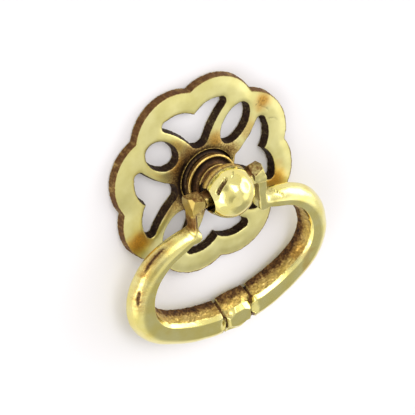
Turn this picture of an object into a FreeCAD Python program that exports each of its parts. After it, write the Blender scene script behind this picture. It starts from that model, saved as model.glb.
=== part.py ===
import FreeCAD, Part
import math
import os

import Sketcher
from FreeCAD import Placement, Rotation, Vector

# Ring pull handle as it is fixed: X to the right, Z up, the back of the plate on Y = 0, front towards -Y.
# All sizes are in millimetres, angles in degrees.

SIZES = {
    # backplate
    "plate_thickness": 2.4,
    "plate_radius": 24.6,
    "notch_depth": 2.2,
    "notch_round": 0.7,
    "outer_draft": 0.35,
    "piercing_draft": 0.55,
    "front_edge_round": 0.35,
    # fan-shaped piercing on the front face: angles from its middle, distances from the plate's rim or the flange
    "fan_cusp_rim": 8.1,
    "fan_crest_rim": 5.95,
    "fan_crest_angle": 11.1,
    "fan_shoulder_rim": 5.1,
    "fan_shoulder_angle": 22.0,
    "fan_corner_rim": 5.6,
    "fan_corner_angle": 27.2,
    "fan_cheek_rim": 7.0,
    "fan_cheek_angle": 27.4,
    "fan_waist_angle": 20.4,
    "fan_foot_hub": 1.7,
    "fan_foot_angle": 12.8,
    "fan_heel_hub": 0.7,
    # oval piercings, three alike and a rounder one at the upper left
    "oval_inner_hub": 1.6,
    "oval_outer_rim": 5.2,
    "oval_half_angle": 13.1,
    "round_oval_inner_hub": 2.3,
    "round_oval_outer_rim": 5.6,
    "round_oval_half_angle": 13.4,
    # post, its lengths stacked forwards from the front of the plate
    "spigot_radius": 4.0,
    "spigot_clearance": 0.05,
    "flange_radius": 7.3,
    "flange_height": 0.7,
    "cove_height": 0.8,
    "cove_inset": 1.3,
    "collar_height": 1.0,
    "collar_radius": 6.5,
    "collar_lip_step": 0.4,
    "collar_lip_height": 0.2,
    "lower_neck_length": 1.9,
    "neck_radius": 4.3,
    "neck_ring_radius": 5.0,
    "upper_neck_length": 2.6,
    "bead_height": 1.7,
    "bead_proud": 0.2,
    "bead_foot_step": 0.35,
    "head_radius": 6.15,
    "head_land": 0.8,
    "head_shoulder_radius": 4.2,
    "head_cap_extra": 0.11,
    "line_depth": 0.3,
    "line_width": 0.3,
    # threaded bore for the fixing screw, at its tapping size
    "bore_radius": 1.65,
    "bore_depth": 6.0,
    "bore_chamfer": 0.4,
    "drill_point_angle": 118.0,
    # cross bore, level with the top of the bead, and the ring's pins in it
    "cross_bore_radius": 3.05,
    "pin_play": 1.0,
    "pin_back_gap": 0.2,
    "pin_inner_end": 2.2,
    # ring, measured from its pins
    "ring_half_width": 23.9,
    "shoulder_drop": 8.5,
    "shoulder_length": 6.8,
    "ring_upper_rise": 15.5,
    "ring_lower_rise": 15.3,
    "ring_lower_radius": 11.3,
    "ring_side_play": 0.4,
    "knuckle_radius": 2.9,
    "knuckle_root_radius": 2.4,
    "knuckle_reach": 2.65,
    "knuckle_rise": 0.5,
    "neck_inset": 0.3,
    "neck_width": 2.4,
    "neck_corner_round": 1.2,
    # section of the ring's arm, about the line of its path
    "arm_front": 1.8,
    "arm_back": 3.6,
    "side_outward": 4.6,
    "side_inward": 2.6,
    "side_facet": 1.1,
    "bottom_outward": 4.5,
    "bottom_inward": 4.7,
    "bottom_facet": 2.1,
    "foot_back": 2.3,
    "foot_outward": 2.4,
    "foot_inward": 1.7,
    "foot_facet": 0.95,
    # bead at the bottom of the ring
    "end_bead_half_length": 3.9,
    "end_bead_proud": 0.6,
    "end_bead_crown": 0.45,
    "end_bead_flat_proud": 0.1,
    "end_groove_width": 0.9,
    "end_groove_depth": 0.4,
    "rest_gap": 0.15,
}

# Where the corners of the arm's section lie, as shares of its reach across and of its depth
OUTER_FRONT_ARC = (0.72, 0.3)
OUTERMOST_LEVEL = 0.5
OUTER_BACK_ARC = (0.88, 0.79)
BACK_FACE_REACH = (0.6, 0.88)
INNER_BACK_LEVEL = 0.88
INNER_FRONT_CORNER = (0.42, 0.45)
NECK_DEPTH_SHARE = 0.85

doc = FreeCAD.newDocument("ring_pull_handle")
sheet = doc.addObject("Spreadsheet::Sheet", "sizes")
for row, (name, value) in enumerate(SIZES.items(), start=1):
    sheet.set("A%d" % row, name)
    sheet.set("B%d" % row, str(value))
    sheet.setAlias("B%d" % row, name)
doc.recompute()


def size(name):
    return float(sheet.get(name))


def new_body(name):
    body = doc.addObject("PartDesign::Body", name)
    body.Label = name
    return body


def origin_plane(body, role):
    return next(f for f in body.Origin.OriginFeatures if f.Role == role)


def new_sketch(body, name, role, offset=None):
    sketch = body.newObject("Sketcher::SketchObject", name)
    sketch.AttachmentSupport = [(origin_plane(body, role), "")]
    sketch.MapMode = "FlatFace"
    if offset:
        sketch.setExpression("AttachmentOffset.Base.z", offset)
    return sketch


def arc(a, via, b):
    return Part.Arc(Vector(*a, 0), Vector(*via, 0), Vector(*b, 0))


def line(a, b):
    return Part.LineSegment(Vector(*a, 0), Vector(*b, 0))


def closed_lines(sketch, corners):
    for a, b in zip(corners, corners[1:] + corners[:1]):
        sketch.addGeometry(line(a, b), False)


def circle(sketch, left, radius_size):
    centre = Vector(-left, 0, 0)
    sketch.addGeometry(Part.Circle(centre, Vector(0, 0, 1), 1.0), False)
    sketch.addConstraint(Sketcher.Constraint("Radius", 0, 1.0))
    sketch.renameConstraint(0, "radius")
    sketch.setExpression("Constraints.radius", radius_size)


def polar(radius, degrees):
    a = math.radians(degrees)
    return radius * math.cos(a), radius * math.sin(a)


def loft(body, kind, name, first, second):
    feature = body.newObject("PartDesign::" + kind, name)
    feature.Profile = first
    feature.Sections = [second]
    feature.Ruled = True
    return feature


def pocket_through(body, name, sketch):
    feature = body.newObject("PartDesign::Pocket", name)
    feature.Profile = sketch
    feature.Type = "ThroughAll"
    feature.Midplane = True
    body.Tip = feature
    doc.recompute()
    return feature


# Backplate outline: eight lobe arcs meeting in eight lightly rounded notches

def lobe_outline(sketch, grow):
    lobes = 8
    pitch = 360 / lobes
    tip = size("plate_radius") + grow
    notch = tip - size("notch_depth")
    small = size("notch_round")
    half = math.radians(pitch / 2)
    centre = (tip ** 2 - notch ** 2) / (2 * (tip - notch * math.cos(half)))
    radius = tip - centre
    reach = centre * math.cos(half) + math.sqrt((radius + small) ** 2 - (centre * math.sin(half)) ** 2)

    def meeting(lobe, notch_centre):
        dx = notch_centre[0] - lobe[0]
        dy = notch_centre[1] - lobe[1]
        share = radius / math.hypot(dx, dy)
        return lobe[0] + dx * share, lobe[1] + dy * share

    for k in range(lobes):
        lobe = polar(centre, pitch * (k + 0.5))
        next_lobe = polar(centre, pitch * (k + 1.5))
        here = polar(reach, pitch * k)
        there = polar(reach, pitch * (k + 1))
        first = meeting(lobe, here)
        last = meeting(lobe, there)
        sketch.addGeometry(arc(first, polar(tip, pitch * (k + 0.5)), last), False)
        notch_floor = polar(reach - small, pitch * (k + 1))
        sketch.addGeometry(arc(last, notch_floor, meeting(next_lobe, there)), False)


# Fan-shaped piercing, drawn about the upward axis; the wall leans in by the inset towards the back

def fan_outline(sketch, inset):
    rim = size("plate_radius")
    hub = size("flange_radius")

    def point(angle_name, radius, side_share, radius_share):
        angle = math.radians(size(angle_name))
        return (radius * math.sin(angle) - side_share * inset,
                radius * math.cos(angle) - radius_share * inset)

    cheek_radius = rim - size("fan_cheek_rim")
    foot_radius = hub + size("fan_foot_hub")
    cusp = (0.0, rim - size("fan_cusp_rim") - inset)
    heel = (0.0, hub + size("fan_heel_hub") + inset)
    crest = point("fan_crest_angle", rim - size("fan_crest_rim"), 0.0, 1.0)
    shoulder = point("fan_shoulder_angle", rim - size("fan_shoulder_rim"), 0.4, 0.9)
    corner = point("fan_corner_angle", rim - size("fan_corner_rim"), 1.0, 0.2)
    cheek = point("fan_cheek_angle", cheek_radius, 0.8, -0.3)
    waist = point("fan_waist_angle", (cheek_radius + foot_radius) / 2, 0.8, -0.5)
    foot = point("fan_foot_angle", foot_radius, 0.8, -0.5)
    for side in (1, -1):
        def at(p):
            return side * p[0], p[1]
        sketch.addGeometry(arc(at(cusp), at(crest), at(shoulder)), False)
        sketch.addGeometry(arc(at(shoulder), at(corner), at(cheek)), False)
        sketch.addGeometry(arc(at(cheek), at(waist), at(foot)), False)
    sketch.addGeometry(arc(foot, heel, (-foot[0], foot[1])), False)


# Oval piercing at a given direction

def oval_outline(sketch, stem, degrees, inset):
    inner = size("flange_radius") + size(stem + "_inner_hub")
    outer = size("plate_radius") - size(stem + "_outer_rim")
    middle = (inner + outer) / 2
    half_length = (outer - inner) / 2 - inset
    half_width = middle * math.tan(math.radians(size(stem + "_half_angle"))) - inset
    turn = degrees
    if half_width > half_length:
        half_length, half_width = half_width, half_length
        turn = degrees + 90
    centre = Vector(*polar(middle, degrees), 0)
    end = centre + Vector(*polar(half_length, turn), 0)
    side = centre + Vector(*polar(half_width, turn + 90), 0)
    sketch.addGeometry(Part.Ellipse(end, side, centre), False)


plate = new_body("backplate")
thickness = size("plate_thickness")

back = new_sketch(plate, "outline_back", "XZ_Plane")
lobe_outline(back, size("outer_draft"))
front = new_sketch(plate, "outline_front", "XZ_Plane", "sizes.plate_thickness")
lobe_outline(front, 0.0)
slab = loft(plate, "AdditiveLoft", "slab", back, front)

fan_back = new_sketch(plate, "fan_back", "XZ_Plane")
fan_outline(fan_back, size("piercing_draft"))
fan_front = new_sketch(plate, "fan_front", "XZ_Plane", "sizes.plate_thickness")
fan_outline(fan_front, 0.0)
fan = loft(plate, "SubtractiveLoft", "fan", fan_back, fan_front)
doc.recompute()

fans = plate.newObject("PartDesign::PolarPattern", "fans")
fans.Originals = [fan]
fans.Axis = (origin_plane(plate, "Y_Axis"), [""])
fans.Angle = 360
fans.Occurrences = 4
plate.Tip = fans
doc.recompute()

for number, (degrees, stem) in enumerate(((45, "oval"), (135, "round_oval"), (225, "oval"), (315, "oval"))):
    oval_back = new_sketch(plate, "oval_back_%d" % number, "XZ_Plane")
    oval_outline(oval_back, stem, degrees, size("piercing_draft"))
    oval_front = new_sketch(plate, "oval_front_%d" % number, "XZ_Plane", "sizes.plate_thickness")
    oval_outline(oval_front, stem, degrees, 0.0)
    oval = loft(plate, "SubtractiveLoft", "oval_%d" % number, oval_back, oval_front)
    plate.Tip = oval
doc.recompute()

hub = new_sketch(plate, "hub_circle", "XZ_Plane")
circle(hub, 0.0, "sizes.spigot_radius + sizes.spigot_clearance")
hub_hole = pocket_through(plate, "hub_hole", hub)

# Every edge of the front face is eased, except where the post's flange covers it
on_plane = 1e-4
front_edges = []
for number, edge in enumerate(plate.Shape.Edges, start=1):
    box = edge.BoundBox
    on_front = abs(box.YMin + thickness) < on_plane and abs(box.YMax + thickness) < on_plane
    reach = max(math.hypot(v.X, v.Z) for v in edge.Vertexes)
    if on_front and reach > size("spigot_radius") + 2 * size("spigot_clearance"):
        front_edges.append("Edge%d" % number)
rounding = plate.newObject("PartDesign::Fillet", "front_rounding")
rounding.Base = (hub_hole, front_edges)
rounding.setExpression("Radius", "sizes.front_edge_round")
plate.Tip = rounding
doc.recompute()

# Post: one turned piece with its axis on Y, heights measured from the back of the plate

post = new_body("post")
turned = new_sketch(post, "turned_profile", "XY_Plane")
head_radius = size("head_radius")
flange_top = thickness + size("flange_height")
collar_foot = flange_top + size("cove_height")
collar_top = collar_foot + size("collar_height")
neck_ring = collar_top + size("lower_neck_length")
bead_foot = neck_ring + size("upper_neck_length")
bead_top = bead_foot + size("bead_height")
head_waist = bead_top + size("head_land")
bead_radius = head_radius + size("bead_proud")

# The head's front is a cap centred on the axis, met by a shoulder of smaller radius
cap_radius = head_radius + size("head_cap_extra")
shoulder_radius = size("head_shoulder_radius")
shoulder_centre = head_radius - shoulder_radius
cap_sink = math.sqrt((cap_radius - shoulder_radius) ** 2 - shoulder_centre ** 2)
cap_height = head_waist - cap_sink
cap_turn = math.atan2(shoulder_centre, cap_sink)
shoulder_turn = (cap_turn + math.pi / 2) / 2


def profile_point(radius, height):
    return radius, -height


def head_point(centre, height, radius, turn):
    return profile_point(centre + radius * math.sin(turn), height + radius * math.cos(turn))


turned_points = {
    "rear": profile_point(0, 0),
    "spigot_rear": profile_point(size("spigot_radius"), 0),
    "spigot_front": profile_point(size("spigot_radius"), thickness),
    "flange_low": profile_point(size("flange_radius"), thickness),
    "flange_high": profile_point(size("flange_radius"), flange_top),
    "cove": profile_point(size("flange_radius") - size("cove_inset"), (flange_top + collar_foot) / 2),
    "collar_low": profile_point(size("collar_radius"), collar_foot),
    "collar_high": profile_point(size("collar_radius"), collar_top),
    "collar_lip": profile_point(size("collar_radius") - size("collar_lip_step"),
                                collar_top + size("collar_lip_height")),
    "neck_low": profile_point(size("neck_radius"), (collar_top + neck_ring) / 2),
    "neck_ring": profile_point(size("neck_ring_radius"), neck_ring),
    "neck_high": profile_point(size("neck_radius"), (neck_ring + bead_foot) / 2),
    "bead_low": profile_point(bead_radius - size("bead_foot_step"), bead_foot),
    "bead_out": profile_point(bead_radius, (bead_foot + bead_top) / 2),
    "bead_high": profile_point(head_radius, bead_top),
    "line_floor": profile_point(head_radius - size("line_depth"), bead_top + size("line_width") / 2),
    "line_top": profile_point(head_radius, bead_top + size("line_width")),
    "waist": profile_point(head_radius, head_waist),
    "head_shoulder": head_point(shoulder_centre, head_waist, shoulder_radius, shoulder_turn),
    "cap_edge": head_point(0, cap_height, cap_radius, cap_turn),
    "cap_side": head_point(0, cap_height, cap_radius, cap_turn / 2),
    "pole": profile_point(0, cap_height + cap_radius),
}


def turned_line(a, b):
    turned.addGeometry(line(turned_points[a], turned_points[b]), False)


def turned_arc(a, via, b):
    turned.addGeometry(arc(turned_points[a], turned_points[via], turned_points[b]), False)


turned_line("rear", "spigot_rear")
turned_line("spigot_rear", "spigot_front")
turned_line("spigot_front", "flange_low")
turned_line("flange_low", "flange_high")
turned_arc("flange_high", "cove", "collar_low")
turned_line("collar_low", "collar_high")
turned_line("collar_high", "collar_lip")
turned_arc("collar_lip", "neck_low", "neck_ring")
turned_arc("neck_ring", "neck_high", "bead_low")
turned_arc("bead_low", "bead_out", "bead_high")
turned_line("bead_high", "line_floor")
turned_line("line_floor", "line_top")
turned_line("line_top", "waist")
turned_arc("waist", "head_shoulder", "cap_edge")
turned_arc("cap_edge", "cap_side", "pole")
turned_line("pole", "rear")
shank = post.newObject("PartDesign::Revolution", "shank")
shank.Profile = turned
shank.ReferenceAxis = (turned, ["V_Axis"])
shank.Angle = 360
post.Tip = shank
doc.recompute()

cross = new_sketch(post, "cross_bore_circle", "YZ_Plane")
circle(cross, bead_top, "sizes.cross_bore_radius")
cross_bore = pocket_through(post, "cross_bore", cross)

# Blind bore from behind for the fixing screw, with a drilled point and a countersunk mouth
bore_radius = size("bore_radius")
bore_depth = size("bore_depth")
bore_chamfer = size("bore_chamfer")
drill_point = bore_radius / math.tan(math.radians(size("drill_point_angle") / 2))
bore = new_sketch(post, "bore_profile", "XY_Plane")
closed_lines(bore, [
    (0.0, 0.0),
    (bore_radius + bore_chamfer, 0.0),
    (bore_radius, -bore_chamfer),
    (bore_radius, -bore_depth),
    (0.0, -bore_depth - drill_point),
])
fixing_bore = post.newObject("PartDesign::Groove", "fixing_bore")
fixing_bore.Profile = bore
fixing_bore.ReferenceAxis = (bore, ["V_Axis"])
fixing_bore.Angle = 360
post.Tip = fixing_bore
doc.recompute()

# Ring: one casting, drawn about its pins, hanging along -Z with its front towards -Y.
# Each side of its path runs straight down a sloping shoulder, round an upper arc to the widest place,
# round a lower arc, and into the shallow arc of the bottom.

ring = new_body("ring")
half_width = size("ring_half_width")
shoulder = size("shoulder_drop")
widest = shoulder + size("ring_upper_rise")
lower_rise = size("ring_lower_rise")
bottom = widest + lower_rise
lower = size("ring_lower_radius")
knuckle_x = bead_radius + size("ring_side_play") + size("knuckle_reach")
neck_x = knuckle_x - size("neck_inset")
span = half_width - neck_x
upper = (span ** 2 + size("ring_upper_rise") ** 2 - size("shoulder_length") ** 2) / (2 * span)
upper_x = half_width - upper
lower_x = half_width - lower
bottom_radius = (lower_x ** 2 + lower_rise ** 2 - lower ** 2) / (2 * (lower_rise - lower))
bottom_centre = bottom - bottom_radius
bottom_turn = math.atan2(lower_x, widest - bottom_centre)
shoulder_angle = math.pi - math.atan2(neck_x - upper_x, widest - shoulder)
upper_turn = shoulder_angle - math.atan2(size("shoulder_length"), upper)
sideways = math.pi / 2


def path_point(centre_x, centre_drop, radius, angle):
    return centre_x + radius * math.sin(angle), -(centre_drop + radius * math.cos(angle))


path = new_sketch(ring, "ring_path", "XZ_Plane")
for end in (-1, 1):
    foot = (end * neck_x, -shoulder)
    shoulder_end = path_point(end * upper_x, widest, upper, end * upper_turn)
    upper_middle = path_point(end * upper_x, widest, upper, end * (upper_turn + sideways) / 2)
    side = (end * half_width, -widest)
    lower_middle = path_point(end * lower_x, widest, lower, end * (bottom_turn + sideways) / 2)
    bottom_end = path_point(0, bottom_centre, bottom_radius, end * bottom_turn)
    path.addGeometry(line(foot, shoulder_end), False)
    path.addGeometry(arc(shoulder_end, upper_middle, side), False)
    path.addGeometry(arc(side, lower_middle, bottom_end), False)
bottom_left = path_point(0, bottom_centre, bottom_radius, -bottom_turn)
bottom_right = path_point(0, bottom_centre, bottom_radius, bottom_turn)
path.addGeometry(arc(bottom_left, (0, -bottom), bottom_right), False)


# Section of the arm: front facet, inner wall, flat back and a rounded outside.
# place(across, forward) gives the sketch point, with across counted outwards from the path.

def arm_section(sketch, place, outward, inward, facet, back, front=size("arm_front")):
    front_in = place(-facet, front)
    front_out = place(facet, front)
    outer_front = place(facet + (outward - facet) * OUTER_FRONT_ARC[0], front * OUTER_FRONT_ARC[1])
    outermost = place(outward, -back * OUTERMOST_LEVEL)
    outer_back = place(outward * OUTER_BACK_ARC[0], -back * OUTER_BACK_ARC[1])
    back_out = place(outward * BACK_FACE_REACH[0], -back)
    back_in = place(-inward * BACK_FACE_REACH[1], -back)
    inner_back = place(-inward, -back * INNER_BACK_LEVEL)
    inner_front = place(-facet - (inward - facet) * INNER_FRONT_CORNER[0], front * INNER_FRONT_CORNER[1])
    sketch.addGeometry(line(front_in, front_out), False)
    sketch.addGeometry(arc(front_out, outer_front, outermost), False)
    sketch.addGeometry(arc(outermost, outer_back, back_out), False)
    sketch.addGeometry(line(back_out, back_in), False)
    sketch.addGeometry(line(back_in, inner_back), False)
    sketch.addGeometry(line(inner_back, inner_front), False)
    sketch.addGeometry(line(inner_front, front_in), False)


def reaches(place_name):
    return tuple(size(place_name + part) for part in ("_outward", "_inward", "_facet"))


foot_section = reaches("foot") + (size("foot_back"),)
side_section = reaches("side") + (size("arm_back"),)
bottom_section = reaches("bottom") + (size("arm_back"),)
sections = []
neck_plane = ("sizes.head_radius + sizes.bead_proud + sizes.ring_side_play"
              " + sizes.knuckle_reach - sizes.neck_inset")
widest_plane = "-(sizes.shoulder_drop + sizes.ring_upper_rise)"
for end in (-1, 1):
    at_foot = new_sketch(ring, "section_foot_%d" % (end + 1), "YZ_Plane", "%d * (%s)" % (end, neck_plane))
    arm_section(at_foot, lambda across, forward: (-forward, -shoulder + across), *foot_section)
    at_side = new_sketch(ring, "section_side_%d" % (end + 1), "XY_Plane", widest_plane)
    arm_section(at_side, lambda across, forward: (end * (half_width + across), -forward), *side_section)
    sections.append((at_foot, at_side))
at_bottom = new_sketch(ring, "section_bottom", "YZ_Plane")
arm_section(at_bottom, lambda across, forward: (-forward, -bottom - across), *bottom_section)
(left_foot, left_side), (right_foot, right_side) = sections
arm = ring.newObject("PartDesign::AdditivePipe", "arm")
arm.Spine = (path, ["Edge1", "Edge2", "Edge3", "Edge7", "Edge6", "Edge5", "Edge4"])
arm.Profile = left_foot
arm.Sections = [(left_side, [""]), (at_bottom, [""]), (right_side, [""]), (right_foot, [""])]
arm.Transformation = "Multisection"
arm.Transition = "Transformed"
ring.Tip = arm
doc.recompute()

# Necks up to the pins, each ending in a knuckle that tapers inwards to a pin in the post's cross bore
neck_inner = neck_x - size("neck_width") / 2
neck_outer = neck_x + size("neck_width") / 2
neck_foot = -shoulder - size("foot_inward")
neck_top = size("knuckle_rise")
knuckle_root = bead_radius + size("ring_side_play")
neck_round = size("neck_corner_round")
neck_turn = neck_round * (1 - math.sqrt(0.5))
for end in (-1, 1):
    neck_plan = new_sketch(ring, "neck_plan_%d" % (end + 1), "XZ_Plane", "sizes.arm_front")
    round_top = (end * neck_inner, neck_foot + neck_round)
    round_middle = (end * (neck_inner + neck_turn), neck_foot + neck_turn)
    round_low = (end * (neck_inner + neck_round), neck_foot)
    outer_low = (end * neck_outer, neck_foot)
    outer_top = (end * neck_outer, neck_top)
    inner_top = (end * neck_inner, neck_top)
    neck_plan.addGeometry(arc(round_top, round_middle, round_low), False)
    neck_plan.addGeometry(line(round_low, outer_low), False)
    neck_plan.addGeometry(line(outer_low, outer_top), False)
    neck_plan.addGeometry(line(outer_top, inner_top), False)
    neck_plan.addGeometry(line(inner_top, round_top), False)
    neck = ring.newObject("PartDesign::Pad", "neck_%d" % (end + 1))
    neck.Profile = neck_plan
    neck.Reversed = True
    neck.setExpression("Length", "sizes.arm_front + sizes.foot_back * %g" % NECK_DEPTH_SHARE)
    ring.Tip = neck
    knuckle = ring.newObject("PartDesign::AdditiveCone", "knuckle_%d" % (end + 1))
    knuckle.setExpression("Radius1", "sizes.knuckle_root_radius")
    knuckle.setExpression("Radius2", "sizes.knuckle_radius")
    knuckle.setExpression("Height", "sizes.knuckle_reach - sizes.neck_inset + sizes.neck_width / 2")
    outwards = Rotation(Vector(0, 1, 0), 90 * end)
    knuckle.Placement = Placement(Vector(end * knuckle_root, 0, neck_top), outwards)
    ring.Tip = knuckle
    pin = ring.newObject("PartDesign::AdditiveCylinder", "pin_%d" % (end + 1))
    pin.setExpression("Radius", "sizes.cross_bore_radius - sizes.pin_play")
    pin.setExpression("Height", neck_plane + " + sizes.neck_inset - sizes.pin_inner_end")
    pin.Placement = Placement(Vector(end * size("pin_inner_end"), 0, 0), outwards)
    ring.Tip = pin
    doc.recompute()


# Bead at the bottom: the arm's section grown a little, fullest in the middle, with a groove at each end

def on_bottom(x):
    rise = bottom_radius - math.sqrt(bottom_radius ** 2 - x ** 2)
    return lambda across, forward: (-forward, -bottom + rise - across)


def grown(growth):
    outward, inward, facet, back = bottom_section
    return outward + growth, inward + growth, facet, back


bead_half = size("end_bead_half_length")
bead_front = size("arm_front") + size("end_bead_flat_proud")
bead_slices = []
for end in (-1, 0, 1):
    growth = size("end_bead_proud") - abs(end) * size("end_bead_crown")
    bead_slice = new_sketch(ring, "bead_slice_%d" % (end + 1), "YZ_Plane",
                            "%d * sizes.end_bead_half_length" % end)
    arm_section(bead_slice, on_bottom(end * bead_half), *grown(growth), front=bead_front)
    bead_slices.append(bead_slice)
bead = ring.newObject("PartDesign::AdditiveLoft", "bead")
bead.Profile = bead_slices[0]
bead.Sections = bead_slices[1:]
ring.Tip = bead
doc.recompute()

groove_side = bead_half + size("end_groove_width") / 2
groove_depth = size("end_groove_depth")
groove_clear = 2 * size("bottom_inward")
outward, inward, facet, back = bottom_section
for end in (-1, 1):
    cut = new_sketch(ring, "end_groove_ring_%d" % (end + 1), "YZ_Plane",
                     "%d * (sizes.end_bead_half_length + sizes.end_groove_width / 2)" % end)
    arm_section(cut, on_bottom(groove_side), outward - groove_depth, inward - groove_depth, facet,
                back - groove_depth, front=size("arm_front") - groove_depth)
    closed_lines(cut, [
        (-groove_clear, -bottom - groove_clear),
        (groove_clear, -bottom - groove_clear),
        (groove_clear, -bottom + groove_clear),
        (-groove_clear, -bottom + groove_clear),
    ])
    end_groove = ring.newObject("PartDesign::Pocket", "end_groove_%d" % (end + 1))
    end_groove.Profile = cut
    end_groove.setExpression("Length", "sizes.end_groove_width")
    end_groove.Midplane = True
    ring.Tip = end_groove
    doc.recompute()

# At rest the bead leans back against the surface that the plate is fixed to, short of it by the rest gap.
# Lifted right over, its front flat comes as near to the surface above the plate.
pin_height = bead_top - size("pin_play") + size("pin_back_gap")


def lean_to_surface(flat_level, touch_drop):
    return math.degrees(math.asin((pin_height - size("rest_gap")) / math.hypot(touch_drop, flat_level))
                        - math.atan2(flat_level, touch_drop))


back_touch = bottom + (size("bottom_outward") + size("end_bead_proud")) * BACK_FACE_REACH[0]
lean = lean_to_surface(size("arm_back"), back_touch)
ring.Placement = Placement(Vector(0, -pin_height, 0), Rotation(Vector(1, 0, 0), lean))
doc.recompute()
over = lean_to_surface(bead_front, bottom + size("bottom_facet"))

for item in doc.Objects:
    if "Invalid" in item.State or "Error" in item.State:
        raise RuntimeError("feature failed: " + item.Name)

os.makedirs("parts", exist_ok=True)
for body in (plate, post, ring):
    shape = body.Shape
    if shape.isNull() or not shape.isValid() or len(shape.Solids) != 1:
        raise RuntimeError("bad shape: " + body.Label)
    shape.exportStep("parts/" + body.Label + ".step")
    print(body.Label, "volume", round(shape.Volume, 1))
print("pins", round(pin_height, 3), "mm from the back, lean", round(lean, 2), "degrees")
print("swing from rest to the surface above", round(lean + 180 + over, 2), "degrees")
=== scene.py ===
"""Looks of a cast brass ring pull: a pierced backplate, a turned post and a swinging ring.

Each CAD node is remade as an even fine mesh that lies on the CAD surface. Casting waves, file marks,
dents and pits are worked into that mesh, and masks for patina, grime, wear and painted shade are laid on it
for the materials.
Lengths are in millimetres up to the moment a mesh is handed over in metres, unless a comment says metres.
"""
import math

import bmesh
import bpy
import numpy as np
from mathutils import Matrix, Vector
from mathutils.bvhtree import BVHTree
from mathutils.kdtree import KDTree


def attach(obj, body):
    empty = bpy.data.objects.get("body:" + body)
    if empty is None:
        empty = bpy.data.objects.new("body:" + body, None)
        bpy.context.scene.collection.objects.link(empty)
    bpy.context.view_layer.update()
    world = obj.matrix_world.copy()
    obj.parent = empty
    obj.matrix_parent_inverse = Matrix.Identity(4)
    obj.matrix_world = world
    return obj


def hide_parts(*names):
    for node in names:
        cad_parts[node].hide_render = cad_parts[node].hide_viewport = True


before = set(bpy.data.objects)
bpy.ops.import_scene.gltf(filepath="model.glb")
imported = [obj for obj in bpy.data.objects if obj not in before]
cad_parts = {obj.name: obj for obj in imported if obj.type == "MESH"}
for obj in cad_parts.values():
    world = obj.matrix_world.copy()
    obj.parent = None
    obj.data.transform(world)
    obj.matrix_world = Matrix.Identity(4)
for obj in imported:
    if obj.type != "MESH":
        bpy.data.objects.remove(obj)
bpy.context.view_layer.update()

MM = 0.001

# Camera, fitted to the photo. Its place is in metres.
CAMERA_PLACE = (-0.14507787, -0.28383018, 0.1921998)
CAMERA_TURN_DEG = (57.16946797, 9.3032021, -33.00825336)
CAMERA_LENS = 138.795
CAMERA_SENSOR = 36.0

# The surface that the pull lies on
SURFACE_GAP = 0.3
SURFACE_HALF_SIZE = 900.0
SURFACE_COLOUR = (0.79, 0.772, 0.787, 1)

# Room, set against the photo: how bright it is, its colour, the share of a part's spread that has
# the full change, and the brighter and darker parts as direction, spread in degrees and change
ROOM_LEVEL = 0.98
ROOM_COLOUR = (1.0, 0.99, 0.975, 1)
ROOM_CORE = 0.25
ROOM_PARTS = (
    ((0.30, -0.45, -0.84), 36, -0.46),
    ((0.95, -0.25, 0.10), 30, 1.0),
    ((-0.88, -0.30, -0.36), 30, 0.8),
    ((0.10, -0.80, 0.60), 26, 0.6),
    ((-0.25, -0.95, -0.10), 20, -0.45),
    ((-0.45, -0.60, 0.66), 18, -0.45),
    ((0.62, -0.75, -0.15), 14, -0.35),
    ((0.72, -0.62, -0.34), 22, 0.8),
)

# Lamps: name, place in metres, width, height and power. They aim at the pull's origin.
LAMPS = (
    ("overhead", (0.12, -0.75, 0.45), 0.35, 0.5, 1.6),
    ("left", (-0.6, -0.35, 0.05), 0.25, 0.5, 1.0),
    ("right", (0.6, -0.25, 0.1), 0.3, 0.5, 1.0),
)

# Bare brass where it is brighter and deeper: satin on the plate, polished on the post and ring
SATIN_GOLD = ((0.79, 0.73, 0.33, 1), (0.70, 0.635, 0.25, 1))
GOLD = ((0.80, 0.73, 0.315, 1), (0.78, 0.68, 0.22, 1))
AMBER = (0.62, 0.31, 0.035, 1)
# The dark brown below is patina and tarnish, and also painted shade on the ring's inner wall and knuckles and
# round the post's foot.
PATINA_AND_SHADE_BROWN = (0.165, 0.072, 0.018, 1)
# The near-black below is dirt in cracks, dents, pits and grooves, and also painted shade in hollows, in the
# piercings, in the post's bore and at its foot.
GRIME_AND_SHADE_DARK = (0.018, 0.008, 0.004, 1)

# Roughness of each piece where it is polished and where it is coarse, and the depth of its grain in metres
PLATE_ROUGHNESS = (0.24, 0.46)
POST_ROUGHNESS = (0.1, 0.5)
RING_ROUGHNESS = (0.16, 0.5)
GRAIN_RELIEF = 0.00003

# Forms of the pull that the masks are laid by. Heights are above the plate's back, and the ring's middle
# is a place across and up in the ring's own frame.
PIN_HEIGHT = 10.3
RING_LEAN_DEG = 8.96
RING_MIDDLE = (0.0, -24.0)
RING_MIDDLE_HALF = 9.0
BEAD_HALF = 3.9
GROOVE_X = 4.35
PLATE_WALL_RADIUS = 20.5
COLLAR_HEIGHT = 4.9
NECK_RING_HEIGHT = 6.8
BEAD_FOOT_HEIGHT = 9.4
BEAD_SHINE_ABOVE_FOOT = 1.15
HEAD_LINE_HEIGHT = 11.25
HEAD_FOOT_HEIGHT = 11.9
BORE_RADIUS = 3.05

# The post's painted dark shade for the cross bore fills a cylinder as wide as the bore, on an axis this far
# behind the pins.
# The bore's own axis lies as far in front of the pins, so the front part of the bore stays lighter.
SHADE_BEHIND_PINS = 0.8

# Where the ring's masks set in, in its own frame: the arm and the bead's stretch by depth below the pins,
# the knuckles and the foot and top of the corner beside the neck by height, and that corner's side by reach
ARM_DEPTHS = (10.0, 14.0)
BEAD_DEPTHS = (30.0, 32.0)
KNUCKLE_HEIGHTS = (-7.5, -6.0)
NECK_CORNER_FOOT = (-11.5, -9.0)
NECK_CORNER_TOP = (-5.5, -4.0)
NECK_CORNER_SIDE = (11.5, 13.0)

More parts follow.
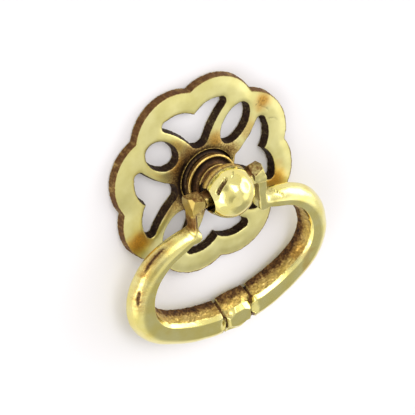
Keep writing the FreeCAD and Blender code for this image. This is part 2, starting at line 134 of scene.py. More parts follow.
# Distances from the post's axis over which the plate's painted dark shade at the post's foot, its brown hub
# of tarnish and painted shade, and its brown stains fade out
FOOT_SHADE_RADII = (7.6, 9.8)
HUB_RADII = (8.2, 12.5)
BROWN_STAIN_RADII = (12, 17)

# Relief worked into the plate
PLATE_WAVES = 0.10
PLATE_RIPPLES = 0.012
FILE_MARKS = 0.05
FILE_LUMPS = 0.06
PLATE_SINK = 0.08
CRACK_DEPTH = 0.06

# Relief worked into the post
HEAD_WAVES = 0.06
SLOT_DEPTH = 0.45
MARK_DEPTH = 0.14

# Relief worked into the ring
CAST_LUMPS = 0.11
CAST_GRAIN = 0.05
INNER_SINK = 0.12
RING_WAVES = 0.06
KNUCKLE_LUMPS = 0.07
KNUCKLE_SINK = 0.1
GROOVE_DEPTH = 0.2
BESIDE_GROOVE_DEPTH = 0.28
PIT_DEPTH = 0.16
BEAD_PIT_DEPTH = 0.3
CREASE_DEPTH = 0.22

# Fall of the plate's front towards its worn outer edge and towards the piercings
EDGE_FALL = 0.22
EDGE_REACH = 3.2
HOLE_EDGE_FALL = 0.1
HOLE_EDGE_REACH = 1.3

# Width of the remade faces
PLATE_VOXEL = 0.21
POST_VOXEL = 0.13
RING_VOXEL = 0.2

# Amber stains on the plate's front: place across and up, reach and strength
STAINS = (
    ((18.0, 12.2), 3.2, 1.0),
    ((13.5, 7.0), 3.6, 0.45),
    ((18.4, -8.8), 4.0, 1.0),
    ((-20.4, -8.2), 4.2, 1.0),
    ((-7.0, 6.5), 3.4, 0.6),
    ((4.5, 8.4), 2.6, 0.45),
    ((-12.5, -3.5), 3.6, 0.6),
    ((-5.5, 10.8), 2.6, 0.5),
)

# Fine dark cracks in the plate's front, as lines of places across and up
CRACKS = (((16.6, 12.9), (18.4, 12.1), (20.0, 12.0)), ((17.2, 11.4), (19.0, 9.8), (19.6, 8.2)),
          ((19.0, 7.2), (20.6, 6.6), (21.6, 5.2)), ((16.0, 11.9), (17.4, 12.6), (18.0, 13.8)))

# Cast pits on the ring's right shoulder and creases on its left arm, in the ring's own frame
PITS = ((12.2, 0.2, -7.0), (12.9, 0.4, -7.1), (13.3, 0.0, -7.4), (13.8, -0.3, -7.7), (14.2, -0.7, -8.1),
        (14.7, -1.0, -8.6))
CREASES = (
    ((-16.3, 0.3, -8.1), (-18.0, 0.4, -8.7), (-20.0, 0.4, -9.7), (-22.1, 0.3, -11.2), (-24.1, 0.1, -13.4)),
    ((-25.4, -0.5, -16.1), (-26.3, -0.7, -18.6), (-26.5, -1.1, -20.8)),
)

# Flats hammered into the head: middle, depth and reach, then the lines of its dark slot and small nick
HEAD_FLATS = (
    ((1.7, -16.6, 2.7), 0.16, 2.2),
    ((-1.2, -17.3, 0.4), 0.13, 2.4),
    ((0.4, -15.3, 4.6), 0.14, 1.9),
    ((-5.0, -14.1, 2.3), 0.12, 1.6),
    ((-4.0, -15.9, -1.3), 0.13, 1.9),
    ((3.4, -15.2, -3.6), 0.12, 2.0),
    ((4.3, -14.8, 2.9), 0.12, 1.6),
)
HEAD_SLOT = ((-1.5, -14.2, 5.3), (-2.1, -14.5, 4.9), (-3.3, -14.6, 4.1), (-4.4, -14.6, 3.0))
HEAD_MARK = ((1.1, -13.5, 5.7), (0.6, -14.1, 5.5), (0.1, -14.6, 5.2))

# Flats filed on the ring, in its own frame: a place on the flat, the way it faces and its reach.
# Those of the knuckle are for the right side and are mirrored to the left. The neck's are on the left only.
BEAD_FLATS = (
    ((-1.7, -1.75, -37.3), (-0.42, -0.66, 0.62), 3.4),
    ((1.9, -1.75, -37.3), (0.42, -0.64, 0.64), 3.4),
    ((-3.0, -1.7, -39.6), (-0.80, -0.60, -0.06), 2.6),
    ((3.1, -1.7, -39.3), (0.80, -0.60, 0.0), 2.6),
    ((-1.6, -1.6, -41.7), (-0.32, -0.66, -0.68), 3.0),
    ((1.8, -1.6, -41.6), (0.34, -0.64, -0.69), 3.0),
)
KNUCKLE_FLATS = (
    ((9.6, -2.0, 0.4), (0.10, -1.0, 0.06), 4.2),
    ((8.6, -1.4, 2.4), (-0.28, -0.42, 0.86), 3.6),
    ((9.9, 0.0, 2.55), (0.28, 0.2, 0.94), 4.0),
    ((10.2, -1.1, 1.2), (0.86, -0.42, 0.3), 3.4),
)
NECK_FLATS = (
    ((-9.5, -1.7, -5.0), (-0.75, -0.66, 0), 3.6),
    ((-9.5, -1.7, -5.0), (0.75, -0.66, 0), 3.6),
)
BEAD_PIT = (-2.9, -0.9, -37.3)


def lattice(cells, seed):
    """A repeatable number from 0 to 1 for each cell of a whole-number lattice."""
    x, y, z = (cells[:, i].astype(np.int64) for i in range(3))
    mixed = x * 374761393 + y * 668265263 + z * 1440662683 + seed * 1274126177
    mixed = ((mixed ^ (mixed >> 13)) * 1274126177) & 0xFFFFFFFF
    mixed = ((mixed ^ (mixed >> 15)) * 2246822519) & 0xFFFFFFFF
    return (mixed ^ (mixed >> 16)).astype(float) / 0xFFFFFFFF


def noise(points, width, seed):
    """Smooth noise from -1 to 1. Width is that of a cell, one number or one for each axis."""
    spot = points / np.asarray(width, float)
    corner = np.floor(spot)
    share = spot - corner
    share = share * share * share * (share * (share * 6 - 15) + 10)
    total = np.zeros(len(points))
    for step in np.ndindex(2, 2, 2):
        weight = np.prod(np.where(step, share, 1 - share), axis=1)
        total += weight * lattice(corner + step, seed)
    return 2 * total - 1


def layered(points, width, seed, layers=3):
    """Noise with finer and fainter layers on top."""
    total = np.zeros(len(points))
    for layer in range(layers):
        total += noise(points + 7.3 * layer, np.asarray(width, float) / 2 ** layer, seed + layer) / 2 ** layer
    return total


def ramp(values, low, high):
    """Smooth step from 0 at low to 1 at high."""
    share = np.clip((values - low) / (high - low), 0, 1)
    return share * share * (3 - 2 * share)


def bump(values, middle, width):
    """1 at the middle value, falling off smoothly over the width."""
    return np.exp(-((values - middle) / width) ** 2)


def line_distance(points, line):
    """Distance from each point to a line of straight runs, and the share of the line's length there."""
    line = np.asarray(line, float)
    runs = np.linalg.norm(np.diff(line, axis=0), axis=1)
    starts = np.concatenate([[0], np.cumsum(runs)])
    best = np.full(len(points), 1e9)
    place = np.zeros(len(points))
    for start, end, run, before in zip(line[:-1], line[1:], runs, starts):
        share = np.clip(((points - start) @ (end - start)) / run ** 2, 0, 1)
        away = np.linalg.norm(points - start - share[:, None] * (end - start), axis=1)
        nearer = away < best
        best = np.where(nearer, away, best)
        place = np.where(nearer, (before + share * run) / starts[-1], place)
    return best, place


def surface_tree_of(node, own):
    """The CAD surface of a node in millimetres, in the given frame, for rays."""
    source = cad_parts[node].data
    points = np.empty(len(source.vertices) * 3)
    source.vertices.foreach_get("co", points)
    turned = [own @ Vector(p) for p in (points.reshape(-1, 3) / MM).tolist()]
    return BVHTree.FromPolygons(turned, [tuple(f.vertices) for f in source.polygons])


class Casting:
    """A CAD node's surface remade of small even faces, with a value for each point in every mask.

    The points lie in the piece's own frame, reached from the shared frame by the matrix own.
    """

    def __init__(self, node, name, voxel, own=Matrix.Identity(4)):
        self.node = node
        self.own = own
        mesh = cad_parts[node].data.copy()
        mesh.transform(own @ Matrix.Scale(1 / MM, 4))
        welded = bmesh.new()
        welded.from_mesh(mesh)
        bmesh.ops.remove_doubles(welded, verts=welded.verts, dist=0.0005)
        self.surface = BVHTree.FromBMesh(welded)
        welded.to_mesh(mesh)
        welded.free()
        mesh.materials.clear()
        self.object = bpy.data.objects.new(name, mesh)
        bpy.context.scene.collection.objects.link(self.object)
        even = self.object.modifiers.new("even_faces", "REMESH")
        even.mode = "VOXEL"
        even.voxel_size = voxel
        ready = self.object.evaluated_get(bpy.context.evaluated_depsgraph_get())
        remade = bpy.data.meshes.new_from_object(ready)
        self.object.modifiers.clear()
        self.object.data = remade
        remade.name = name
        self.points = np.empty(len(remade.vertices) * 3)
        remade.vertices.foreach_get("co", self.points)
        self.points = self.points.reshape(-1, 3)
        ends = np.empty(len(remade.edges) * 2, np.int64)
        remade.edges.foreach_get("vertices", ends)
        self.ends = ends.reshape(-1, 2)
        self.masks = {}
        self.lay_on_cad()

    def lay_on_cad(self):
        """Evens the points out a little and puts them back on the CAD surface."""
        for _ in range(2):
            self.points = 0.5 * self.points + 0.5 * self.spread(self.points)
        self.points = np.array([self.surface.find_nearest(p)[0] for p in self.points.tolist()])
        self.normals = self.read_normals()

    def spread(self, values, rounds=1):
        """Each point's mean of its neighbours' values."""
        a, b = self.ends.T
        count = len(self.points)
        near = np.bincount(a, minlength=count) + np.bincount(b, minlength=count)
        for _ in range(rounds):
            columns = values.reshape(count, -1)
            summed = [
                np.bincount(a, columns[b, i], count) + np.bincount(b, columns[a, i], count)
                for i in range(columns.shape[1])
            ]
            values = (np.stack(summed, axis=1) / near[:, None]).reshape(values.shape)
        return values

    def read_normals(self):
        """The mesh's normals with the points where they are now."""
        mesh = self.object.data
        mesh.vertices.foreach_set("co", self.points.astype(np.float32).ravel())
        mesh.update()
        normals = np.empty(len(mesh.vertices) * 3)
        mesh.vertices.foreach_get("normal", normals)
        return normals.reshape(-1, 3)

    def push(self, distance):
        """Moves each point out along its normal by its own distance."""
        self.points = self.points + self.normals * distance[:, None]

    def file_flat(self, place, facing, reach):
        """Files down what stands above a flat, within the reach of its place."""
        facing = np.asarray(facing, float) / np.linalg.norm(facing)
        offset = self.points - np.asarray(place, float)
        above = np.maximum(offset @ facing, 0)
        share = 1 - ramp(np.linalg.norm(offset, axis=1), 0.75 * reach, reach)
        self.points = self.points - facing * (above * share)[:, None]

    def hammer(self, middle, depth, reach):
        """Flattens a round part of the surface a little."""
        away = np.linalg.norm(self.points - np.asarray(middle, float), axis=1)
        facing = self.normals[np.argmin(away)]
        top = self.points[np.argmin(away)]
        above = np.maximum((self.points - top) @ facing + depth, 0)
        share = 1 - ramp(away, 0.8 * reach, reach)
        self.points = self.points - facing * (above * share)[:, None]

    def distance_to(self, chosen):
        """How far each point is from the nearest chosen point, in millimetres."""
        places = self.points[chosen].tolist()
        tree = KDTree(len(places))
        for number, place in enumerate(places):
            tree.insert(place, number)
        tree.balance()
        return np.array([tree.find(point)[2] for point in self.points.tolist()])

    def soften(self, share, rounds):
        """Rounds edges and fills corners where the share is above 0."""
        self.points = self.points + share[:, None] * (self.spread(self.points, rounds) - self.points)
        self.normals = self.read_normals()

    def edge_sharpness(self, rounds=2):
        """Positive on convex edges and negative in inner corners, in millimetres."""
        out = ((self.points - self.spread(self.points)) * self.normals).sum(axis=1)
        return self.spread(out, rounds)

    def openness(self, trees, reach=9.0, rays=20, every=9):
        """Share of the sky that each point sees past the given surfaces, within the reach."""
        turn = math.pi * (3 - math.sqrt(5))
        chosen = np.arange(0, len(self.points), every)
        tree = KDTree(len(chosen))
        found = []
        for place, index in enumerate(chosen):
            normal = Vector(self.normals[index])
            start = Vector(self.points[index]) + normal * 0.05
            basis = normal.to_track_quat("Z", "Y")
            clear = 0.0
            for ray in range(rays):
                lift = 1 - (ray + 0.5) / rays
                flat = math.sqrt(1 - lift)
                angle = turn * ray
                way = basis @ Vector((flat * math.cos(angle), flat * math.sin(angle), math.sqrt(lift)))
                hit = [t.ray_cast(start, way, reach)[3] for t in trees]
                hit = [h for h in hit if h is not None]
                clear += min(hit) / reach if hit else 1.0
            found.append(clear / rays)
            tree.insert(self.points[index], place)
        tree.balance()
        found = np.array(found)
        out = np.empty(len(self.points))
        for index, point in enumerate(self.points.tolist()):
            near = tree.find_n(point, 4)
            weights = [1 / (n[2] + 0.02) for n in near]
            out[index] = sum(w * found[n[1]] for w, n in zip(weights, near)) / sum(weights)
        return self.spread(out, 2)

    def hand_over(self, material, body, slot):
        """Writes points and masks to the mesh in metres and puts it in the CAD node's place."""
        mesh = self.object.data
        back = np.array(self.own.inverted())
        shared = self.points @ back[:3, :3].T + back[:3, 3]
        mesh.vertices.foreach_set("co", (shared * MM).astype(np.float32).ravel())
        for name, values in self.masks.items():
            layer = mesh.attributes.new(name, "FLOAT", "POINT")
            layer.data.foreach_set("value", np.clip(values, 0, 1).astype(np.float32))
        mesh.polygons.foreach_set("use_smooth", np.ones(len(mesh.polygons), bool))
        mesh.update()
        mesh.materials.append(material)
        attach(self.object, body)
        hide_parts(self.node)


def settle(tree, node, name, value):
    """Links a socket to the node's input or writes a plain value to it."""
    if isinstance(value, bpy.types.NodeSocket):
        tree.links.new(value, node.inputs[name])
    else:
        node.inputs[name].default_value = value


def mask(tree, name):
    """A mask laid on the mesh."""
    node = tree.nodes.new("ShaderNodeAttribute")
    node.attribute_name = name
    return node.outputs["Fac"]


def maths(tree, operation, first, second=0.0, clamp=False):
    """The outcome of one operation on two sockets or numbers."""
    node = tree.nodes.new("ShaderNodeMath")
    node.operation = operation
    node.use_clamp = clamp
    settle(tree, node, 0, first)
    settle(tree, node, 1, second)
    return node.outputs[0]


def blended(tree, share, first, second):
    """Colour between the first and the second by the share."""
    node = tree.nodes.new("ShaderNodeMix")
    node.data_type = "RGBA"
    settle(tree, node, "Factor", share)
    settle(tree, node, 6, first)
    settle(tree, node, 7, second)
    return node.outputs[2]


def between(tree, value, low, high, start=0.0, end=1.0):
    """Number from low to high as the value goes from start to end."""
    node = tree.nodes.new("ShaderNodeMapRange")
    settle(tree, node, "Value", value)
    node.inputs["From Min"].default_value = start
    node.inputs["From Max"].default_value = end
    node.inputs["To Min"].default_value = low
    node.inputs["To Max"].default_value = high
    return node.outputs["Result"]


def grain(tree, per_mm, detail=3.0):
    """Fine noise fixed to the piece, so many cells to the millimetre."""
    place = tree.nodes.new("ShaderNodeTexCoord").outputs["Object"]
    node = tree.nodes.new("ShaderNodeTexNoise")
    node.inputs["Scale"].default_value = per_mm / MM
    node.inputs["Detail"].default_value = detail
    tree.links.new(place, node.inputs["Vector"])
    return node.outputs["Fac"]


def broken_up(tree, share, spots):
    """Breaks the soft edge of a mask up by fine spots."""
    soft = maths(tree, "MULTIPLY", share, maths(tree, "SUBTRACT", 1.0, share))
    speckled = maths(tree, "MULTIPLY", soft, between(tree, spots, -1.3, 1.3, 0.3, 0.7))
    return maths(tree, "ADD", share, speckled, clamp=True)


def brass(name, bright, deep, polished, satin):
    """Brass with patina, amber tarnish, grime and wear laid by the piece's masks; the patina and grime masks
    also carry painted shade.
    """
    material = bpy.data.materials.new(name)
    material.use_nodes = True
    tree = material.node_tree
    shader = tree.nodes["Principled BSDF"]
    cloud = grain(tree, 0.25)
    fine = grain(tree, 2.2, detail=4.0)
    patina_and_painted_shade = broken_up(tree, mask(tree, "patina_and_painted_shade"), fine)
    grime_and_painted_shade = broken_up(tree, mask(tree, "grime_and_painted_shade"), fine)
    colour = blended(tree, between(tree, cloud, 0.0, 1.0, 0.35, 0.65), bright, deep)
    colour = blended(tree, mask(tree, "amber"), colour, AMBER)
    colour = blended(tree, patina_and_painted_shade, colour, PATINA_AND_SHADE_BROWN)
    colour = blended(tree, grime_and_painted_shade, colour, GRIME_AND_SHADE_DARK)
    tree.links.new(colour, shader.inputs["Base Color"])
    tree.links.new(between(tree, patina_and_painted_shade, 1.0, 0.75), shader.inputs["Metallic"])
    rough = between(tree, mask(tree, "coarse"), polished, satin)
    rough = maths(tree, "ADD", rough, between(tree, fine, -0.05, 0.05, 0.3, 0.7))
    rough = maths(tree, "ADD", rough, maths(tree, "MULTIPLY", patina_and_painted_shade, 0.2), clamp=True)
    tree.links.new(rough, shader.inputs["Roughness"])
    relief = tree.nodes.new("ShaderNodeBump")
    relief.inputs["Distance"].default_value = GRAIN_RELIEF
    tree.links.new(between(tree, mask(tree, "coarse"), 0.1, 0.6), relief.inputs["Strength"])
    tree.links.new(fine, relief.inputs["Height"])
    tree.links.new(relief.outputs["Normal"], shader.inputs["Normal"])
    return material


def make_plate():
    """The pierced backplate: waved satin front, filed walls, amber stains, and painted shade at the post's
    foot and in the piercings.
    """
    plate = Casting("backplate", "backplate_casting", PLATE_VOXEL)
    x, _, z = plate.points.T
    radius = np.hypot(x, z)
    front = ramp(-plate.normals[:, 1], 0.5, 0.85)
    back = ramp(plate.normals[:, 1], 0.5, 0.85)
    wall = 1 - np.maximum(front, back)
    outer = ramp(radius, PLATE_WALL_RADIUS - 0.5, PLATE_WALL_RADIUS + 0.5)
    waves = (PLATE_WAVES * layered(plate.points, (8, 40, 8), 11, layers=2)
             + PLATE_RIPPLES * noise(plate.points, 1.7, 15))
    files = (FILE_MARKS * noise(plate.points, (0.45, 5, 0.45), 21)
             + FILE_LUMPS * layered(plate.points, 1.1, 24))
    open_share = plate.openness([plate.surface, surface_tree_of("post", plate.own)])
    edge = plate.edge_sharpness()
    flat_places = np.stack([x, np.zeros(len(x)), z], axis=1)
    crack = np.zeros(len(x))
    for line in CRACKS:
        away, along = line_distance(flat_places, [(a, 0, b) for a, b in line])
        faint = (1 - ramp(along, 0.6, 1.0)) * (0.6 + 0.4 * noise(flat_places, 0.7, 91))
        crack = np.maximum(crack, bump(away, 0, 0.13) * faint)
    crack *= front
    to_wall = plate.distance_to(wall * outer > 0.5)
    rounded = EDGE_FALL * (1 - ramp(to_wall, 0, EDGE_REACH)) ** 2
    to_hole = plate.distance_to(wall * (1 - outer) > 0.5)
    rounded += HOLE_EDGE_FALL * (1 - ramp(to_hole, 0, HOLE_EDGE_REACH)) ** 2
    plate.push(front * (waves - PLATE_SINK - CRACK_DEPTH * crack - rounded) + wall * (files - PLATE_SINK))
    cloud = layered(plate.points, 4.0, 31)
    stain = np.zeros(len(x))
    for (across, up), reach, depth in STAINS:
        away = np.hypot(x - across, z - up) / reach
        stain = np.maximum(stain, depth * (1 - ramp(away + 0.35 * cloud, 0.2, 1.1)))
    rim = ramp(edge, 0.012, 0.03)
    streak = noise(plate.points, (0.5, 3, 0.5), 35)
    hub = 1 - ramp(radius, *HUB_RADII)
    # Painted shade: the plate is made darker towards its left and bottom, and where it sees little open sky.
    shaded_side = ramp(-x - 0.4 * z, -3.0, 6.0)
    hollow_shade = ramp(0.86 - open_share, 0.0, 0.3)
    hub_tarnish_and_shade = hub * np.clip(0.4 + 0.6 * shaded_side + 0.5 * cloud, 0, 1)
    brown_stain = 0.45 * stain * (1 - ramp(radius, *BROWN_STAIN_RADII)) + 0.25 * stain ** 3
    # The brown round the post's foot is partly tarnish and partly painted shade, stronger on the shaded side.
    plate.masks["patina_and_painted_shade"] = (wall * (0.97 + 0.1 * cloud + 0.22 * streak) * (1 - 0.45 * rim)
                             + front * np.maximum(0.85 * hub_tarnish_and_shade, brown_stain) + 0.25 * back)
    # The walls of the piercings, the hollows and the front by the post's foot get painted shade; the cracks
    # and the outer wall get dirt.
    plate.masks["grime_and_painted_shade"] = (wall * (1 - outer) * (0.88 + 0.05 * cloud + 0.06 * streak) * (1 - 0.4 * rim)
                            + wall * outer * (0.2 + 0.22 * streak)
                            + front * hollow_shade * (0.4 + 0.45 * shaded_side) + 0.45 * crack
                            + front * (1 - ramp(radius, *FOOT_SHADE_RADII)) * (0.25 + 0.6 * shaded_side))
    # The amber round the post's foot is partly tarnish and partly painted shade.
    plate.masks["amber"] = (front * np.clip(stain + 0.12 * ramp(cloud, 0.5, 1.2) + 0.5 * hub, 0, 1) * 0.85
                            + 0.45 * wall * outer)
    plate.masks["coarse"] = 0.45 * front + 0.9 * wall
    return plate


def make_post():
    """The turned post: polished and dented head, dark grooves, streaked neck, painted shade on the stack and
    in the bore.
    """
    post = Casting("post", "post_turning", POST_VOXEL)
    x, y, z = post.points.T
    height = -y
    radius = np.hypot(x, z)
    open_share = post.openness([post.surface, surface_tree_of("backplate", post.own)])
    edge = post.edge_sharpness()
    head = ramp(height, HEAD_FOOT_HEIGHT - 0.3, HEAD_FOOT_HEIGHT + 0.3)
    for middle, depth, reach in HEAD_FLATS:
        post.hammer(middle, depth, reach)
    post.soften(np.maximum(0.5 * head, bump(height, HEAD_LINE_HEIGHT, 0.35)), rounds=3)
    slot, along = line_distance(post.points, HEAD_SLOT)
    slot = (1 - ramp(slot, 0.25, 0.6)) * (0.5 + 0.5 * ramp(along, 0.0, 0.3))
    mark = bump(line_distance(post.points, HEAD_MARK)[0], 0, 0.18)
    post.push(head * (HEAD_WAVES * layered(post.points, 2.4, 41, layers=2) - HEAD_WAVES)
              - SLOT_DEPTH * slot - MARK_DEPTH * mark)
    # Painted shade inside the cross bore.
    bore_shade = 1 - ramp(np.hypot(y + PIN_HEIGHT - SHADE_BEHIND_PINS, z) - BORE_RADIUS, 0.05, 0.3)
    stack = 1 - ramp(height, HEAD_FOOT_HEIGHT - 0.95, HEAD_FOOT_HEIGHT - 0.75)
    cloud = layered(post.points, (1.2, 3.0, 1.2), 51)
    rim = ramp(edge, 0.004, 0.014)
    turned = noise(np.stack([height, radius, 0 * x], axis=1), (0.35, 2.0, 1.0), 55)
    bead = bump(height, BEAD_FOOT_HEIGHT + BEAD_SHINE_ABOVE_FOOT, 0.5)
    collar_lip = bump(height, COLLAR_HEIGHT + 0.1, 0.16) * ramp(radius, 5.6, 6.1)
    lip = collar_lip + bump(height, NECK_RING_HEIGHT, 0.2)
    bright = np.clip(0.8 * rim + 0.9 * lip + 0.95 * bead * ramp(cloud, -1.4, 0.2), 0, 1)
    under_head = bump(height, HEAD_LINE_HEIGHT, 0.15)
    # Painted shade where a point sees little sky, added to an even, streaked darkening of the stack.
    shade = ramp(0.85 - open_share, 0.0, 0.4) + 0.22 + 0.25 * turned
    post.masks["patina_and_painted_shade"] = (stack * (0.97 + 0.12 * cloud + 0.15 * turned) * (1 - 0.9 * bright)
                            + 0.9 * slot + 1.6 * under_head)
    # The grime on the stack and in the bore is painted shade; in the slot and nick it is dirt.
    post.masks["grime_and_painted_shade"] = stack * shade * (1 - 0.95 * bright) + bore_shade + 0.6 * slot + 0.6 * mark
    post.masks["amber"] = stack * 0.5 + 0.12 * ramp(cloud, 0.4, 1.0)
    post.masks["coarse"] = 0.12 + 0.5 * np.maximum(stack, bump(height, HEAD_LINE_HEIGHT + 0.3, 0.6))
    return post


def make_ring():
    """The cast ring: polished outside and front facet, rough brown inner wall with painted shade towards the
    surface, filed bead and knuckles.
    """
    own = Matrix.Rotation(-math.radians(RING_LEAN_DEG), 4, "X") @ Matrix.Translation((0, PIN_HEIGHT, 0))
    ring = Casting("ring", "ring_casting", RING_VOXEL, own)
    open_share = ring.openness([ring.surface, surface_tree_of("post", own)], every=7)
    x, back, up = ring.points.T
    across = np.clip(x, -RING_MIDDLE_HALF, RING_MIDDLE_HALF)
    away = np.stack([x - across - RING_MIDDLE[0], up - RING_MIDDLE[1]], axis=1)
    away /= np.maximum(np.linalg.norm(away, axis=1), 1e-6)[:, None]
    inward = -(ring.normals[:, 0] * away[:, 0] + ring.normals[:, 2] * away[:, 1])
    arm = ramp(-up, *ARM_DEPTHS)
    inner = ramp(inward, 0.5, 0.75) * ramp(back, -1.2, -0.6) * arm
    bottom = ramp(-up, *BEAD_DEPTHS)
    bead = bottom * (1 - ramp(np.abs(x), BEAD_HALF - 0.1, BEAD_HALF + 0.1))
    groove = bottom * bump(np.abs(x), GROOVE_X, 0.34)
    beside = bottom * bump(np.abs(x), GROOVE_X, 1.3) * (1 - bead)
    knuckle = ramp(up, *KNUCKLE_HEIGHTS)
    for place, facing, reach in BEAD_FLATS:
        ring.file_flat(place, facing, reach)
    for side in (-1, 1):
        for (px, pb, pu), (fx, fb, fu), reach in KNUCKLE_FLATS:
            ring.file_flat((side * px, pb, pu), (side * fx, fb, fu), reach)
    for place, facing, reach in NECK_FLATS:
        ring.file_flat(place, facing, reach)
    beside_neck = (ramp(up, *NECK_CORNER_FOOT) * (1 - ramp(up, *NECK_CORNER_TOP))
                   * (1 - ramp(np.abs(x), *NECK_CORNER_SIDE)))
    ring.soften(beside_neck, rounds=15)
    ring.soften(0.8 * np.maximum(groove, beside), rounds=2)
    ring.soften(0.7 * knuckle * (1 - beside_neck), rounds=2)
    cast = CAST_LUMPS * layered(ring.points, 0.85, 61) + CAST_GRAIN * layered(ring.points, 0.35, 65, layers=2)
    waves = RING_WAVES * layered(ring.points, 4.5, 71, layers=2)
    lumps = KNUCKLE_LUMPS * layered(ring.points, 1.9, 73, layers=2)
    pits = np.zeros(len(x))
    for number, place in enumerate(PITS):
        away = np.linalg.norm((ring.points - np.array(place)) / (0.32, 0.5, 0.32), axis=1)
        pits = np.maximum(pits, bump(away, 0, 1.0) * (0.7 + 0.3 * (number % 2)))
    bead_pit = bump(np.linalg.norm(ring.points - np.array(BEAD_PIT), axis=1), 0, 0.8)
    crease = np.zeros(len(x))
    stained = np.zeros(len(x))
    for line in CREASES:
        away, along = line_distance(ring.points, line)
        streaks = 0.75 + 0.5 * noise(ring.points, (2.5, 2.5, 0.6), 93)
        stained = np.maximum(stained, bump(away, 0, 1.5) * streaks)
        crease = np.maximum(crease, bump(away, 0, 0.4) * ramp(along, 0.0, 0.25) * (1 - ramp(along, 0.7, 1.0)))
    facing_front = ramp(-ring.normals[:, 1], 0.6, 0.9)
    ring.push(inner * (cast - INNER_SINK) * (1 - 0.6 * facing_front) + (1 - inner) * (waves - RING_WAVES)
              + knuckle * (lumps - KNUCKLE_SINK)
              - GROOVE_DEPTH * groove - BESIDE_GROOVE_DEPTH * beside * facing_front
              - PIT_DEPTH * pits - BEAD_PIT_DEPTH * bead_pit - CREASE_DEPTH * crease)
    # Painted shade: the inner wall is made darker towards the back, where it lies near the surface.
    depth = ramp(back, -0.5, 2.5)
    cloud = layered(ring.points, 1.3, 81)
    speck = layered(ring.points, 0.5, 83, layers=2)
    rubbed = ramp(ring.edge_sharpness(rounds=1), 0.0, 0.012)
    # Patina on the inner wall and knuckles is partly painted shade: darker towards the back, where little sky
    # is seen, on tops and on sides turned away from the front, and on the left knuckle by the bore.
    ring.masks["patina_and_painted_shade"] = np.maximum(
        inner * np.clip(0.04 + 1.05 * depth + 0.2 * cloud + 0.16 * speck, 0, 1) * (1 - 0.5 * facing_front),
        knuckle * np.clip(0.5 * ramp(0.8 - open_share, 0, 0.4) + 0.2 * cloud + 0.15 * speck
                          + 0.75 * ramp(ring.normals[:, 2], 0.3, 0.8)
                          + 0.55 * ramp(-np.sign(x) * ring.normals[:, 0], 0.4, 0.9)
                          + 0.9 * ramp(-x, 0, 4) * (1 - ramp(up, -3.2, -1.8))
                          * ramp(np.abs(ring.normals[:, 0]), 0.3, 0.7), 0, 1)
        * (1 - 0.9 * facing_front))
    # Grime: painted shade towards the back of the inner wall and where little sky is seen; dirt in the
    # grooves, pits and creases.
    ring.masks["grime_and_painted_shade"] = (inner * ramp(depth + 0.22 * cloud + 0.16 * speck, 0.55, 1.25) * 0.8
                           + ramp(0.62 - open_share, 0, 0.3) * (0.3 + 0.5 * arm) + 0.4 * groove + 0.5 * pits
                           + 0.6 * crease) * (1 - 0.3 * rubbed)
    ring.masks["patina_and_painted_shade"] = np.maximum(ring.masks["patina_and_painted_shade"], np.maximum(1.3 * groove, 0.9 * crease))
    ring.masks["patina_and_painted_shade"] += 0.3 * stained
    ring.masks["amber"] = (0.3 * ramp(layered(ring.points, 5.0, 85), 0.4, 1.2)
                           + 0.6 * stained + 0.5 * bead_pit
                           + 0.45 * inner + 0.4 * knuckle * ramp(-x, 0, 4))
    ring.masks["coarse"] = 0.12 + 0.6 * inner + 0.4 * knuckle * (1 - facing_front)
    return ring


def make_surface():
    """The pale surface behind the pull, which keeps the pull's shadow. It is clear from behind."""
    mesh = bpy.data.meshes.new("surface")
    half = SURFACE_HALF_SIZE * MM
    y = SURFACE_GAP * MM
    corners = [(-half, y, -half), (half, y, -half), (half, y, half), (-half, y, half)]
    mesh.from_pydata(corners, [], [(0, 1, 2, 3)])
    surface = bpy.data.objects.new("surface", mesh)
    bpy.context.scene.collection.objects.link(surface)
    material = bpy.data.materials.new("pale_surface")
    material.use_nodes = True
    tree = material.node_tree
    tree.nodes.clear()
    cloth = tree.nodes.new("ShaderNodeBsdfDiffuse")
    cloth.inputs["Color"].default_value = SURFACE_COLOUR
    sided = tree.nodes.new("ShaderNodeMixShader")
    tree.links.new(tree.nodes.new("ShaderNodeNewGeometry").outputs["Backfacing"], sided.inputs[0])
    tree.links.new(cloth.outputs[0], sided.inputs[1])
    tree.links.new(tree.nodes.new("ShaderNodeBsdfTransparent").outputs[0], sided.inputs[2])
    tree.links.new(sided.outputs[0], tree.nodes.new("ShaderNodeOutputMaterial").inputs["Surface"])
    mesh.materials.append(material)


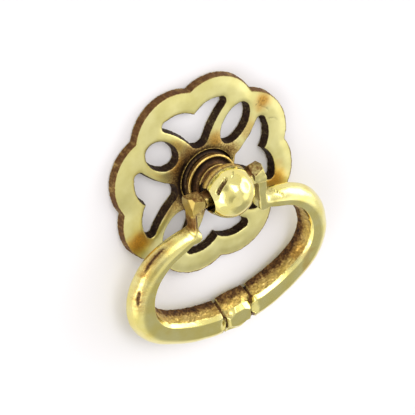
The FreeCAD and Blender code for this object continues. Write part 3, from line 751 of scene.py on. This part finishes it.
def make_world():
    """A pale room with its brighter and darker parts, each fading out from the middle of its direction."""
    world = bpy.data.worlds.new("pale_room")
    bpy.context.scene.world = world
    world.use_nodes = True
    tree = world.node_tree
    way = tree.nodes.new("ShaderNodeTexCoord").outputs["Generated"]
    total = ROOM_LEVEL
    for facing, spread, change in ROOM_PARTS:
        length = math.sqrt(sum(c * c for c in facing))
        dot = tree.nodes.new("ShaderNodeVectorMath")
        dot.operation = "DOT_PRODUCT"
        tree.links.new(way, dot.inputs[0])
        dot.inputs[1].default_value = [c / length for c in facing]
        part = tree.nodes.new("ShaderNodeMapRange")
        part.interpolation_type = "SMOOTHSTEP"
        tree.links.new(dot.outputs["Value"], part.inputs["Value"])
        part.inputs["From Min"].default_value = math.cos(math.radians(spread))
        part.inputs["From Max"].default_value = math.cos(math.radians(ROOM_CORE * spread))
        part.inputs["To Min"].default_value = 0.0
        part.inputs["To Max"].default_value = change
        total = maths(tree, "ADD", total, part.outputs["Result"])
    tree.links.new(total, tree.nodes["Background"].inputs["Strength"])
    tree.nodes["Background"].inputs["Color"].default_value = ROOM_COLOUR


def area_light(name, place, aim, width, height, power):
    """A soft rectangular lamp at a place in metres, aimed at a point."""
    data = bpy.data.lights.new(name, "AREA")
    data.shape = "RECTANGLE"
    data.size = width
    data.size_y = height
    data.energy = power
    lamp = bpy.data.objects.new(name, data)
    lamp.location = place
    lamp.rotation_euler = (Vector(aim) - Vector(place)).to_track_quat("-Z", "Y").to_euler()
    bpy.context.scene.collection.objects.link(lamp)


def make_camera():
    """The photo's camera."""
    data = bpy.data.cameras.new("camera")
    data.lens = CAMERA_LENS
    data.sensor_width = CAMERA_SENSOR
    camera = bpy.data.objects.new("camera", data)
    camera.location = CAMERA_PLACE
    camera.rotation_euler = [math.radians(a) for a in CAMERA_TURN_DEG]
    bpy.context.scene.collection.objects.link(camera)
    bpy.context.scene.camera = camera


bpy.context.scene.view_settings.view_transform = "Standard"
make_camera()
make_surface()
make_world()
for lamp_name, lamp_place, lamp_width, lamp_height, lamp_power in LAMPS:
    area_light(lamp_name, lamp_place, (0, 0, 0), lamp_width, lamp_height, lamp_power)

make_plate().hand_over(brass("plate_brass", *SATIN_GOLD, *PLATE_ROUGHNESS), "plate_and_post", "plate_brass")
make_post().hand_over(brass("post_brass", *GOLD, *POST_ROUGHNESS), "plate_and_post", "post_brass")
make_ring().hand_over(brass("ring_brass", *GOLD, *RING_ROUGHNESS), "ring", "ring_brass")
